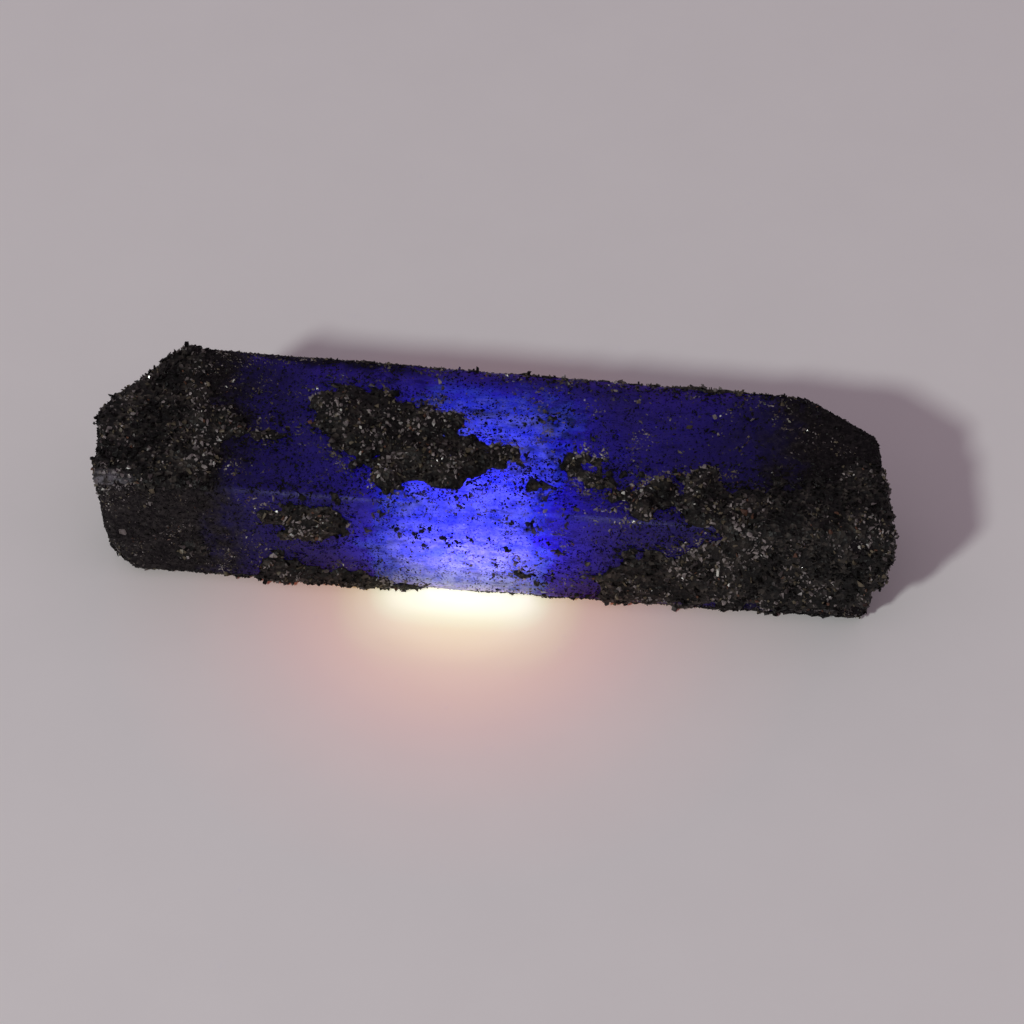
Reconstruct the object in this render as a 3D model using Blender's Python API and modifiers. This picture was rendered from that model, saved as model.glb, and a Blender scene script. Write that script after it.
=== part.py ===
"""Rough sapphire chunk: a bar-shaped crystal, worn and notched, with grit crust grown fast to it.

The crystal is a block cut by flat facets. Its worn edges are rounded, one lower corner is broken away, and
patches of grit stand proud of it as lumps. A voxel remesh fuses crystal and grit into one closed stone,
which rests on a flat foot. Metres, +Z up, +X along the bar, -Y towards the long front facet. The origin is
on the ground under the middle of the stone.
"""

import math
import random

import bmesh
import bpy
from mathutils import Matrix, Vector, noise
from mathutils.bvhtree import BVHTree
from mathutils.geometry import intersect_point_tri_2d, tessellate_polygon

MM = 0.001

# Driving dimensions of the crystal
LENGTH = 80.0 * MM
DEPTH = 18.5 * MM
HEIGHT = 14.0 * MM
SINK = 1.0 * MM  # how far the block reaches below the foot before it is cut off flat
EDGE_WEAR = 1.1 * MM  # width of the rounding along the crystal's edges
ORIGIN = Vector((0.519, 0.298, 0.0)) * MM  # middle of the finished stone's box, as the facets are placed

# Facets of the crystal, each a point on it in millimetres with the way it faces: heading in degrees
# from +X round to +Y, and pitch in degrees above the horizon.
FACETS = {
    "top": ((0, 0.0, 13.2), -79, 84.0),
    "front": ((0, -9.6, 6.0), -89.3, 3),
    "front_under": ((0, -9.4, 0.8), -89.5, -50),
    "back_upper": ((0, 8.8, 14.0), 90, 16),
    "back_lower": ((0, 9.6, 6.0), 88, -22),
    "left_end": ((-38.35, -6.0, 9.5), 185, -3.5),
    "left_back_corner": ((-38.8, -1.3, 13.0), 172, -3),
    "left_back_cut": ((-35.05, 4.55, 13.0), 141, -4),
    "left_foot": ((-37.2, -6.0, 1.6), 188, -48),
    "left_front_cut": ((-38.0, -8.6, 4.0), 228, -20),
    "right_end": ((38.8, -0.4, 13.0), 9.7, 0),
    "right_back_cut": ((33.7, 7.2, 13.0), 59, 4),
    "right_back_corner": ((38.5, 3.95, 12.0), 34, 2),
    "right_foot": ((40.2, -9.0, 10.0), 10, -14),
}

# The corner broken away below the right end: a box in millimetres, (low corner, high corner)
NOTCH = ((37.9, -14.0, -4.0), (45.0, -4.5, 5.1))

# Grit crust. Each patch is the side of the block that it lies on, the height and the radius of its lumps,
# and its outline, all in millimetres. The outline is in (x, y) on top and under, (x, z) on front and back,
# and (y, z) on the ends.
PATCHES = {
    "left_cap": ("top", 0.45, 1.6, [(-42, -11), (-42, 13), (-31, 13), (-28, 3), (-25, -2), (-27, -11)]),
    "left_far_lumps": ("top", 0.95, 1.4, [(-33, 1.5), (-25, 1), (-24, -2.5), (-32, -3.5)]),
    "left_near_lumps": ("top", 0.9, 1.3, [(-33, -4), (-28, -4), (-26.5, -7), (-31, -8)]),
    "middle_left": ("top", 0.9, 1.3,
        [(-19, 3.4), (-16, 5.1), (-11, 4.8), (-9, 3), (-10, -7), (-15, -3.3), (-17.3, -1)]),
    "middle_right": ("top", 0.95, 1.4,
        [(-9.5, 3.3), (-5, 3), (-2.8, 1.6), (-4.2, -0.6), (-0.5, -0.7), (0.5, -5.5), (-1.5, -7.4),
         (-3.8, -6.5), (-6, -7.8), (-10.5, -7.4)]),
    "middle_tail": ("top", 0.65, 1.0, [(-0.5, -0.7), (1, -0.9), (4, -3.3), (1.8, -4.3), (0, -5.8)]),
    "small_lump": ("top", 0.5, 1.0, [(2.6, -5.2), (4.2, -4.3), (7, -5), (7, -6.4), (4.6, -6.6)]),
    "far_lump": ("top", 0.5, 1.0, [(7.2, -3.4), (7.5, -1.2), (9.4, -1.2), (9.6, -4.6), (7.8, -4.8)]),
    "round_lump": ("top", 0.75, 1.1,
        [(9.8, -2.8), (11.3, -2), (13.2, -2.8), (13.3, -6.8), (11.4, -6.6), (10, -5.5)]),
    "ridge_left": ("top", 1.05, 1.5,
        [(13.3, -5.6), (13.9, -3.2), (18.6, -3.4), (20.6, -8.8), (17, -8.7), (14.2, -7.8)]),
    "ridge_middle": ("top", 1.05, 1.5,
        [(18.6, -3.4), (20.3, -1.7), (22.2, -2.6), (24, -5), (24.2, -8.8), (19.5, -8.8)]),
    "ridge_right": ("top", 0.5, 1.5,
        [(23, -4.3), (28.2, -2.4), (33.4, -1), (36, 1), (41, 1.5), (41, -10), (23, -10)]),
    "back_rim": ("top", 0.45, 0.9, [(-20, 7.8), (32, 7.6), (32, 11), (-20, 11)]),
    "front_right": ("front", 0.45, 1.4,
        [(10.6, 1), (11, 4.4), (14.8, 8), (21.3, 9.2), (24, 11.5), (41, 10.2), (41, 2.5), (32, 1.2),
         (12, 0.5)]),
    "front_lump": ("front", 0.6, 1.1,
        [(-20.7, 9.3), (-18.9, 10.9), (-14.2, 10.9), (-14, 8.8), (-15.6, 7.1), (-19, 7)]),
    "front_toe": ("front", 0.6, 1.1,
        [(-22.8, 3.4), (-21, 4.2), (-18, 4), (-13, 3), (-6.5, 1.5), (-6.5, -1), (-22.8, -1)]),
    "back_left": ("back", 0.5, 1.6,
        [(-41, 12.6), (-24, 12.6), (-18, 11), (-20, 8), (-17, 3), (-25, 0), (-41, 0)]),
    "back_middle": ("back", 0.85, 1.4, [(-6, 9), (2, 12), (11, 11), (16, 7), (10, 4), (1, 3), (-5, 5)]),
    "back_right": ("back", 0.6, 1.5, [(20, 4), (24, 9), (31, 11), (40, 12), (40, 0), (24, 0)]),
    "left_end": ("left", 0.4, 1.6, [(-12, 10.5), (-12, 15), (13, 15), (13, 3), (5, 4), (-1, 9.5)]),
    "right_end": ("right", 0.35, 1.4, [(-12, 3), (-12, 12), (-3, 13), (4, 9), (9, 9), (9, 0), (-2, 0)]),
    "under_left": ("under", 0.6, 1.6, [(-40, -9), (-40, 10), (-19, 9), (-15, 2), (-22, -9)]),
    "under_right": ("under", 0.6, 1.6, [(12, -9), (17, 0), (12, 8), (37, 8), (38, -9)]),
}
LUMP_SPACING = 1.1  # distance between lumps as a share of their radius
LUMP_FLATNESS = (0.4, 1.1)  # least and most height of a lump as a share of its patch's height
LUMP_WIDTH = (0.7, 1.2)  # least and most radius of a lump as a share of its patch's radius
FACING = 0.2  # a lump is left out where the surface faces its side less than this, as a cosine

# Side of the block: the two coordinates of an outline, the coordinate looked along, and from which end
SIDES = {
    "top": (0, 1, 2, 1),
    "under": (0, 1, 2, -1),
    "front": (0, 2, 1, -1),
    "back": (0, 2, 1, 1),
    "left": (1, 2, 0, -1),
    "right": (1, 2, 0, 1),
}

# Surface of the fused stone
CELL = 0.7 * MM  # voxel size that fuses the crystal and its grit
TRIANGLES = 9000
GRIT_DEPTH = 0.5 * MM  # height above the crystal at which the roughness is full
ROUGHNESS_HEIGHT = 0.3 * MM
ROUGHNESS_SCALE = 1.8 * MM
SLIVER = 0.05 * MM  # points on the foot closer than this are merged

SEED = 7
CRYSTAL_COLOUR = (0.010, 0.009, 0.055, 1.0)
CRYSTAL_ROUGHNESS = 0.32


def heading_pitch(heading, pitch):
    """Unit vector that faces this way."""
    h, p = math.radians(heading), math.radians(pitch)
    return Vector((math.cos(h) * math.cos(p), math.sin(h) * math.cos(p), math.sin(p)))


def clear_scene():
    for obj in list(bpy.data.objects):
        bpy.data.objects.remove(obj)


def named_collection(name):
    found = bpy.data.collections.new(name)
    bpy.context.scene.collection.children.link(found)
    return found


def new_object(name, bm, collection):
    """An object that holds the bmesh, which is freed."""
    mesh = bpy.data.meshes.new(name)
    bm.to_mesh(mesh)
    bm.free()
    obj = bpy.data.objects.new(name, mesh)
    collection.objects.link(obj)
    return obj


def evaluated_bmesh(obj):
    """The object's mesh with its modifiers applied."""
    bm = bmesh.new()
    bm.from_object(obj, bpy.context.evaluated_depsgraph_get())
    return bm


def cut_off(bm, point, normal):
    """Removes what lies outside the plane and closes the cut with one flat face."""
    everything = bm.verts[:] + bm.edges[:] + bm.faces[:]
    bmesh.ops.bisect_plane(bm, geom=everything, dist=1e-8, plane_co=point, plane_no=normal, clear_outer=True)
    rim = [edge for edge in bm.edges if edge.is_boundary]
    bmesh.ops.holes_fill(bm, edges=rim, sides=0)


def faceted_block():
    """The bar cut by its facets, with worn edges."""
    bm = bmesh.new()
    bmesh.ops.create_cube(bm, size=1.0)
    margin = 1.5
    bmesh.ops.scale(bm, vec=(LENGTH * margin, DEPTH * margin, (HEIGHT + SINK) * margin), verts=bm.verts)
    bmesh.ops.translate(bm, vec=(0, 0, (HEIGHT + SINK) * margin / 2 - SINK), verts=bm.verts)
    for point, heading, pitch in FACETS.values():
        cut_off(bm, Vector(point) * MM, heading_pitch(heading, pitch))
    bmesh.ops.bevel(bm, geom=bm.edges[:], offset=EDGE_WEAR, segments=2, profile=0.6, affect="EDGES")
    return bm


def notched_block(cutters):
    """The block as a bmesh, with its lower right corner broken away."""
    low, high = (Vector(corner) * MM for corner in NOTCH)
    bm = bmesh.new()
    bmesh.ops.create_cube(bm, size=1.0, matrix=Matrix.LocRotScale((low + high) / 2, None, high - low))
    cutter = new_object("notch_cutter", bm, cutters)
    cutter.hide_render = True
    cutter.display_type = "WIRE"
    block = new_object("block", faceted_block(), cutters)
    block.hide_render = True
    block.display_type = "WIRE"
    notch = block.modifiers.new("notch", "BOOLEAN")
    notch.object = cutter
    notch.operation = "DIFFERENCE"
    return evaluated_bmesh(block)


def patch_points(outline, spacing, random_source):
    """Random points inside the outline, none closer to each other than the spacing."""
    corners = [Vector((a, b, 0.0)) for a, b in outline]
    triangles = [[corners[i].xy for i in triangle] for triangle in tessellate_polygon([corners])]
    low = [min(corner[axis] for corner in outline) for axis in (0, 1)]
    high = [max(corner[axis] for corner in outline) for axis in (0, 1)]
    tries = int(6 * (high[0] - low[0]) * (high[1] - low[1]) / spacing**2)
    points = []
    for _ in range(tries):
        point = Vector([random_source.uniform(low[axis], high[axis]) for axis in (0, 1)])
        if not any(intersect_point_tri_2d(point, *triangle) for triangle in triangles):
            continue
        if all((point - other).length > spacing for other in points):
            points.append(point)
    return points


def surface_hit(tree, side, point):
    """(place, normal) where the block is met, looking square at this side, or None if it isn't met there."""
    first, second, depth, end = SIDES[side]
    start = Vector((0, 0, 0))
    start[first] = point[0] * MM
    start[second] = point[1] * MM
    start[depth] = end * LENGTH
    towards = Vector((0, 0, 0))
    towards[depth] = -end
    place, normal, _, _ = tree.ray_cast(start, towards)
    return None if place is None or normal.dot(towards) > -FACING else (place, normal)


def add_lumps(bm, tree):
    """Adds the grit's lumps, flattened balls that stand proud of the block."""
    random_source = random.Random(SEED)
    for side, height, radius, outline in PATCHES.values():
        for point in patch_points(outline, LUMP_SPACING * radius, random_source):
            width = radius * MM * random_source.uniform(*LUMP_WIDTH)
            thickness = height * MM * random_source.uniform(*LUMP_FLATNESS)
            hit = surface_hit(tree, side, point)
            if hit is None:
                continue
            place, normal = hit
            turn = Vector((0, 0, 1)).rotation_difference(normal)
            shape = Matrix.LocRotScale(place, turn, (width, width, thickness))
            bmesh.ops.create_icosphere(bm, subdivisions=2, radius=1.0, matrix=shape)


def fused(bm, collection):
    """One closed skin round everything in the bmesh."""
    obj = new_object("fused", bm, collection)
    remesh = obj.modifiers.new("fuse", "REMESH")
    remesh.mode = "VOXEL"
    remesh.voxel_size = CELL
    whole = evaluated_bmesh(obj)
    bpy.data.objects.remove(obj)
    return whole


def roughen(bm, tree):
    """Makes the grit uneven, and leaves the bare crystal flat."""
    bm.normal_update()
    for vertex in bm.verts:
        _, _, _, proud = tree.find_nearest(vertex.co)
        share = min(1.0, proud / GRIT_DEPTH)
        bumps = noise.fractal(vertex.co / ROUGHNESS_SCALE, 0.8, 2.0, 2)
        vertex.co += vertex.normal * (share * ROUGHNESS_HEIGHT * bumps)


def thinned(bm, collection):
    """The same shape with fewer triangles, kept where the surface is uneven."""
    bmesh.ops.triangulate(bm, faces=bm.faces[:])
    share = TRIANGLES / len(bm.faces)
    obj = new_object("thinned", bm, collection)
    decimate = obj.modifiers.new("thin", "DECIMATE")
    decimate.ratio = share
    whole = evaluated_bmesh(obj)
    bpy.data.objects.remove(obj)
    return whole


def flatten_foot(bm):
    """Cuts the stone off at the ground, where it rests, and merges the slivers that this leaves."""
    cut_off(bm, (0, 0, 0), (0, 0, -1))
    bmesh.ops.triangulate(bm, faces=bm.faces[:])
    bmesh.ops.remove_doubles(bm, verts=[v for v in bm.verts if v.co.z < SLIVER / 2], dist=SLIVER)
    bmesh.ops.dissolve_degenerate(bm, dist=SLIVER / 10, edges=bm.edges[:])
    bmesh.ops.recalc_face_normals(bm, faces=bm.faces[:])


def stone_material():
    material = bpy.data.materials.new("sapphire")
    material.use_nodes = True
    shader = material.node_tree.nodes["Principled BSDF"]
    shader.inputs["Base Color"].default_value = CRYSTAL_COLOUR
    shader.inputs["Roughness"].default_value = CRYSTAL_ROUGHNESS
    shader.inputs["Metallic"].default_value = 0.0
    return material


def build():
    clear_scene()
    parts = named_collection("rough_sapphire_chunk")
    cutters = named_collection("cutters")
    bm = notched_block(cutters)
    tree = BVHTree.FromBMesh(bm)
    add_lumps(bm, tree)
    bm = fused(bm, cutters)
    roughen(bm, tree)
    bm = thinned(bm, cutters)
    flatten_foot(bm)
    bmesh.ops.translate(bm, vec=-ORIGIN, verts=bm.verts)
    stone = new_object("sapphire_chunk", bm, parts)
    stone.data.materials.append(stone_material())


build()
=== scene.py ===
"""Dresses the rough sapphire chunk: a clear blue crystal with lumps of grit crust and angular grains.

The crystal is the same faceted, notched block as the solid that it stands for, with growth lines and chips.
The crust is the same patches at a finer scale: seeded clumps of grit, fused to lumpy sheets. Grains lie on
the crust and, as dust, on the bare crystal. A torch under the stone shines up into it, on a pale floor.
The torch's glow is also painted into the crystal's colour, its light that spills onto the floor is painted
on as emission, and the grit is painted paler on its lumps' tops and darker between them.
Metres, +Z up. A size is in millimetres where it isn't multiplied by MM.
"""

import math

import bmesh
import bpy
import numpy as np
from mathutils import Matrix, Vector, noise
from mathutils.bvhtree import BVHTree


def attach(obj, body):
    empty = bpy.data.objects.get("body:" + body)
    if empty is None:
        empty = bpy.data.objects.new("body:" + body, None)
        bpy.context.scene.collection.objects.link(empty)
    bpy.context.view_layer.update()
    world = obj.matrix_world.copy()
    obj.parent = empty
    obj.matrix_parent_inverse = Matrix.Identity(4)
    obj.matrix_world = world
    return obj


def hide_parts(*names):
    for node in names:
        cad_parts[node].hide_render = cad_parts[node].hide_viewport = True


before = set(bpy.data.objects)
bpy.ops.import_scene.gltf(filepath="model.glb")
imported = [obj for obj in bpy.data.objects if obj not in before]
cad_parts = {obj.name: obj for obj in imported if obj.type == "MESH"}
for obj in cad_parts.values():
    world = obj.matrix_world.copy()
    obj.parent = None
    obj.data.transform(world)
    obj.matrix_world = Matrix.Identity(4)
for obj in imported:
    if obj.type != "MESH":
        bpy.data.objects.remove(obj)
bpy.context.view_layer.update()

MM = 0.001
NODE = "sapphire_chunk"

# ---- the solid's own shape

LENGTH = 80.0 * MM
DEPTH = 18.5 * MM
HEIGHT = 14.0 * MM
SINK = 1.0 * MM  # how far the blank goes below the ground before it is cut
BLANK_MARGIN = 1.5  # how much larger than the bar the blank is
CUT_TOLERANCE = 1e-8
EDGE_WEAR = (1.1 * MM, 0.6)  # width and profile of the worn edges
ORIGIN = Vector((0.519, 0.298, 0.0)) * MM  # of the solid, in the block's own coordinates

# A point on each facet in mm, and the heading and pitch that it faces in degrees
FACETS = {
    "top": ((0, 0.0, 13.2), -79, 84.0),
    "front": ((0, -9.6, 6.0), -89.3, 3),
    "front_under": ((0, -9.4, 0.8), -89.5, -50),
    "back_upper": ((0, 8.8, 14.0), 90, 16),
    "back_lower": ((0, 9.6, 6.0), 88, -22),
    "left_end": ((-38.35, -6.0, 9.5), 185, -3.5),
    "left_back_corner": ((-38.8, -1.3, 13.0), 172, -3),
    "left_back_cut": ((-35.05, 4.55, 13.0), 141, -4),
    "left_foot": ((-37.2, -6.0, 1.6), 188, -48),
    "left_front_cut": ((-38.0, -8.6, 4.0), 228, -20),
    "right_end": ((38.8, -0.4, 13.0), 9.7, 0),
    "right_back_cut": ((33.7, 7.2, 13.0), 59, 4),
    "right_back_corner": ((38.5, 3.95, 12.0), 34, 2),
    "right_foot": ((40.2, -9.0, 10.0), 10, -14),
}
# Low and high corner, in mm, of what is broken away at the foot of the right end
NOTCH = ((37.9, -14.0, -4.0), (45.0, -4.5, 5.1))

# The crust's patches: side, thickness in mm, and outline in mm
PATCHES = {
    "left_cap": ("top", 0.45, [(-42, -11), (-42, 13), (-31, 13), (-28, 3), (-25, -2), (-27, -11)]),
    "left_far_lumps": ("top", 0.95, [(-33, 1.5), (-25, 1), (-24, -2.5), (-32, -3.5)]),
    "left_near_lumps": ("top", 0.9, [(-33, -4), (-28, -4), (-26.5, -7), (-31, -8)]),
    "middle_left": ("top", 0.9,
        [(-19, 3.4), (-16, 5.1), (-11, 4.8), (-9, 3), (-10, -7), (-15, -3.3), (-17.3, -1)]),
    "middle_right": ("top", 0.95,
        [(-9.5, 3.3), (-5, 3), (-2.8, 1.6), (-4.2, -0.6), (-0.5, -0.7), (0.5, -5.5), (-1.5, -7.4),
         (-3.8, -6.5), (-6, -7.8), (-10.5, -7.4)]),
    "middle_tail": ("top", 0.65, [(-0.5, -0.7), (1, -0.9), (4, -3.3), (1.8, -4.3), (0, -5.8)]),
    "small_lump": ("top", 0.5, [(2.6, -5.2), (4.2, -4.3), (7, -5), (7, -6.4), (4.6, -6.6)]),
    "far_lump": ("top", 0.5, [(7.2, -3.4), (7.5, -1.2), (9.4, -1.2), (9.6, -4.6), (7.8, -4.8)]),
    "round_lump": ("top", 0.75,
        [(9.8, -2.8), (11.3, -2), (13.2, -2.8), (13.3, -6.8), (11.4, -6.6), (10, -5.5)]),
    "ridge_left": ("top", 1.05,
        [(13.3, -5.6), (13.9, -3.2), (18.6, -3.4), (20.6, -8.8), (17, -8.7), (14.2, -7.8)]),
    "ridge_middle": ("top", 1.05,
        [(18.6, -3.4), (20.3, -1.7), (22.2, -2.6), (24, -5), (24.2, -8.8), (19.5, -8.8)]),
    "ridge_right": ("top", 0.5,
        [(23, -4.3), (28.2, -2.4), (33.4, -1), (36, 1), (41, 1.5), (41, -10), (23, -10)]),
    "back_rim": ("top", 0.45, [(-20, 7.8), (32, 7.6), (32, 11), (-20, 11)]),
    "front_right": ("front", 0.45,
        [(10.6, 1), (11, 4.4), (14.8, 8), (21.3, 9.2), (24, 11.5), (41, 10.2), (41, 2.5), (32, 1.2),
         (12, 0.5)]),
    "front_lump": ("front", 0.6,
        [(-20.7, 9.3), (-18.9, 10.9), (-14.2, 10.9), (-14, 8.8), (-15.6, 7.1), (-19, 7)]),
    "front_toe": ("front", 0.6,
        [(-22.8, 3.4), (-21, 4.2), (-18, 4), (-13, 3), (-6.5, 1.5), (-6.5, -1), (-22.8, -1)]),
    "back_left": ("back", 0.5,
        [(-41, 12.6), (-24, 12.6), (-18, 11), (-20, 8), (-17, 3), (-25, 0), (-41, 0)]),
    "back_middle": ("back", 0.85, [(-6, 9), (2, 12), (11, 11), (16, 7), (10, 4), (1, 3), (-5, 5)]),
    "back_right": ("back", 0.6, [(20, 4), (24, 9), (31, 11), (40, 12), (40, 0), (24, 0)]),
    "left_end": ("left", 0.4, [(-12, 10.5), (-12, 15), (13, 15), (13, 3), (5, 4), (-1, 9.5)]),
    "right_end": ("right", 0.35, [(-12, 3), (-12, 12), (-3, 13), (4, 9), (9, 9), (9, 0), (-2, 0)]),
    "under_left": ("under", 0.6, [(-40, -9), (-40, 10), (-19, 9), (-15, 2), (-22, -9)]),
    "under_right": ("under", 0.6, [(12, -9), (17, 0), (12, 8), (37, 8), (38, -9)]),
}
FACING = 0.2  # least cosine between a patch's side and the surface that it grows on
# The two axes along each side, the axis across it, and which end of that axis it is
SIDES = {
    "top": (0, 1, 2, 1),
    "under": (0, 1, 2, -1),
    "front": (0, 2, 1, -1),
    "back": (0, 2, 1, 1),
    "left": (1, 2, 0, -1),
    "right": (1, 2, 0, 1),
}
SEED = 7

# Sizes of the faces
CRYSTAL_CELL = 0.36 * MM
CRUST_CELL = 0.32 * MM


def heading_pitch(heading, pitch):
    """Unit vector that faces this way."""
    h, p = math.radians(heading), math.radians(pitch)
    return Vector((math.cos(h) * math.cos(p), math.sin(h) * math.cos(p), math.sin(p)))


def linked(name, data):
    """An object in the scene that holds the mesh, lamp or camera."""
    obj = bpy.data.objects.new(name, data)
    bpy.context.scene.collection.objects.link(obj)
    return obj


def new_object(name, bm):
    """An object that holds the bmesh, which is freed."""
    mesh = bpy.data.meshes.new(name)
    bm.to_mesh(mesh)
    bm.free()
    return linked(name, mesh)


def evaluated_bmesh(obj):
    """The object's mesh with its modifiers applied."""
    bm = bmesh.new()
    bm.from_object(obj, bpy.context.evaluated_depsgraph_get())
    return bm


def cut_off(bm, point, normal):
    """Removes what lies outside the plane and closes the cut with one flat face."""
    everything = bm.verts[:] + bm.edges[:] + bm.faces[:]
    bmesh.ops.bisect_plane(
        bm, geom=everything, dist=CUT_TOLERANCE, plane_co=point, plane_no=normal, clear_outer=True)
    rim = [edge for edge in bm.edges if edge.is_boundary]
    bmesh.ops.holes_fill(bm, edges=rim, sides=0)


def faceted_block():
    """The bar cut by its facets, with worn edges."""
    bm = bmesh.new()
    bmesh.ops.create_cube(bm, size=1.0)
    height = (HEIGHT + SINK) * BLANK_MARGIN
    bmesh.ops.scale(bm, vec=(LENGTH * BLANK_MARGIN, DEPTH * BLANK_MARGIN, height), verts=bm.verts)
    bmesh.ops.translate(bm, vec=(0, 0, height / 2 - SINK), verts=bm.verts)
    for point, heading, pitch in FACETS.values():
        cut_off(bm, Vector(point) * MM, heading_pitch(heading, pitch))
    width, profile = EDGE_WEAR
    bmesh.ops.bevel(bm, geom=bm.edges[:], offset=width, segments=2, profile=profile, affect="EDGES")
    return bm


def notched_block():
    """The block as a bmesh, with its lower right corner broken away."""
    low, high = (Vector(corner) * MM for corner in NOTCH)
    bm = bmesh.new()
    bmesh.ops.create_cube(bm, size=1.0, matrix=Matrix.LocRotScale((low + high) / 2, None, high - low))
    cutter = new_object("notch_cutter", bm)
    block = new_object("block", faceted_block())
    notch = block.modifiers.new("notch", "BOOLEAN")
    notch.object = cutter
    notch.operation = "DIFFERENCE"
    whole = evaluated_bmesh(block)
    bpy.data.objects.remove(block)
    bpy.data.objects.remove(cutter)
    return whole


def inside_depth(outline, points):
    """How far inside the outline each point is, in mm, negative outside."""
    corners = np.array(outline, float)
    nearest = np.full(len(points), np.inf)
    inside = np.zeros(len(points), bool)
    for start, end in zip(corners, np.roll(corners, -1, axis=0)):
        run = end - start
        share = np.clip((points - start) @ run / (run @ run), 0, 1)
        nearest = np.minimum(nearest, np.linalg.norm(points - start - share[:, None] * run, axis=1))
        crosses = (start[1] > points[:, 1]) != (end[1] > points[:, 1])
        rise = run[1] if run[1] else 1.0
        inside ^= crosses & (points[:, 0] < start[0] + (points[:, 1] - start[1]) * run[0] / rise)
    return np.where(inside, nearest, -nearest)


def look_at(side, point, origin=Vector((0, 0, 0))):
    """(start, way) of a look square at this side, at a point on it in mm."""
    first, second, depth, end = SIDES[side]
    start, towards = Vector((0, 0, 0)), Vector((0, 0, 0))
    start[first] = point[0] * MM
    start[second] = point[1] * MM
    start -= origin
    start[depth] = end * LENGTH
    towards[depth] = -end
    return start, towards


def surface_hit(tree, side, point):
    """(place, normal) where a look square at this side meets the block, or None where it doesn't."""
    start, towards = look_at(side, point)
    place, normal, _, _ = tree.ray_cast(start, towards)
    return None if place is None or normal.dot(towards) > -FACING else (place, normal)


def ball(subdivisions):
    """A ball of radius 1 as (points, triangles)."""
    bm = bmesh.new()
    bmesh.ops.create_icosphere(bm, subdivisions=subdivisions, radius=1.0)
    points = np.array([v.co[:] for v in bm.verts])
    triangles = np.array([[v.index for v in f.verts] for f in bm.faces])
    bm.free()
    return points, triangles


# Thin patches that the solid leaves out: side, thickness in mm, and outline in mm
THIN_CRUST = {
    "hem_left": ("front", 0.28, [(-27, 1.5), (-14, 1.6), (-9, 0.9), (-8.5, -1), (-27, -1)]),
    "hem_right": ("front", 0.28, [(-0.5, -1), (0.5, 0.7), (4, 1.5), (11, 1.3), (11, -1)]),
    "hem_lumps": ("front", 0.4,
        [(2.2, 4.5), (4, 4.6), (7.7, 4.1), (10.2, 3.6), (10.4, 2), (6, 2.8), (3, 3.2)]),
    "top_speck": ("top", 0.35, [(4.3, 3.2), (6, 3.2), (6, 1.2), (4.5, 1.1)]),
    "left_specks": ("top", 0.3, [(-24, -1.5), (-21, -1), (-20, -3), (-23.5, -4)]),
    "lump_rim": ("front", 0.22,
        [(-22.5, 8), (-20.5, 11.5), (-15, 11.5), (-13.2, 9), (-14.5, 6), (-20, 5)]),
    "left_dust": ("front", 0.3, [(-31.5, 5.5), (-28, 6), (-26, 4), (-27, 2), (-31, 3)]),
}
EDGE_NOISE = ((1.7, 1.1), (0.65, 0.75))  # size, and how far it moves the patches' edges
EDGE_STEP = 3.7  # between one patch's noise and the next one's
# How far a patch's edge is drawn in, in mm, so that it breaks up into smaller lumps
INSET = {"back_rim": 0.35, "round_lump": 0.45, "ridge_left": 0.5, "hem_lumps": 0.4, "front_lump": 0.4}
# How much more broken a patch's edge is than the others'
RAGGED = {
    "back_rim": 0.4, "front_lump": 2.3, "lump_rim": 2.3, "small_lump": 1.7, "round_lump": 2.3,
    "ridge_left": 2.1, "ridge_middle": 1.4, "middle_left": 1.3, "middle_right": 1.3,
    "middle_tail": 1.5, "front_right": 1.3,
}
# Share of its thickness that a patch has
FLATTER = {"left_cap": 0.7, "left_end": 0.6, "right_end": 0.6, "back_left": 0.75, "back_rim": 0.6}
CLUMP_SPACING = 0.78
CLUMP_SHIFT = 0.45  # how far a clump is from its place on the grid, as a share of the spacing
CLUMP_MARGIN = 1.3  # how far outside a patch's outline the grid goes
EDGE_DEPTH = 0.12  # least depth inside the ragged outline at which there is a clump
EDGE_REACH = 1.8  # depth at which the clumps have their full size
CLUMP_WIDTH = (0.40, 0.85)  # at a patch's edge and well inside it
CLUMP_HEIGHT = (0.28, 0.62)  # share of the patch's thickness at its edge, and what well inside adds
WIDTH_RANGE = (0.75, 1.3)
HEIGHT_RANGE = (0.5, 1.25)
SWELL = (2.7 * MM, 1.35)  # size of the lumps' rise and fall, and its strength
SWELL_SHIFT = 31.0
SWELL_LEAST = 0.25
SWELL_THICKNESS = (0.9, 1.5)  # thinner patches swell less: thickness in mm, and power


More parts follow.
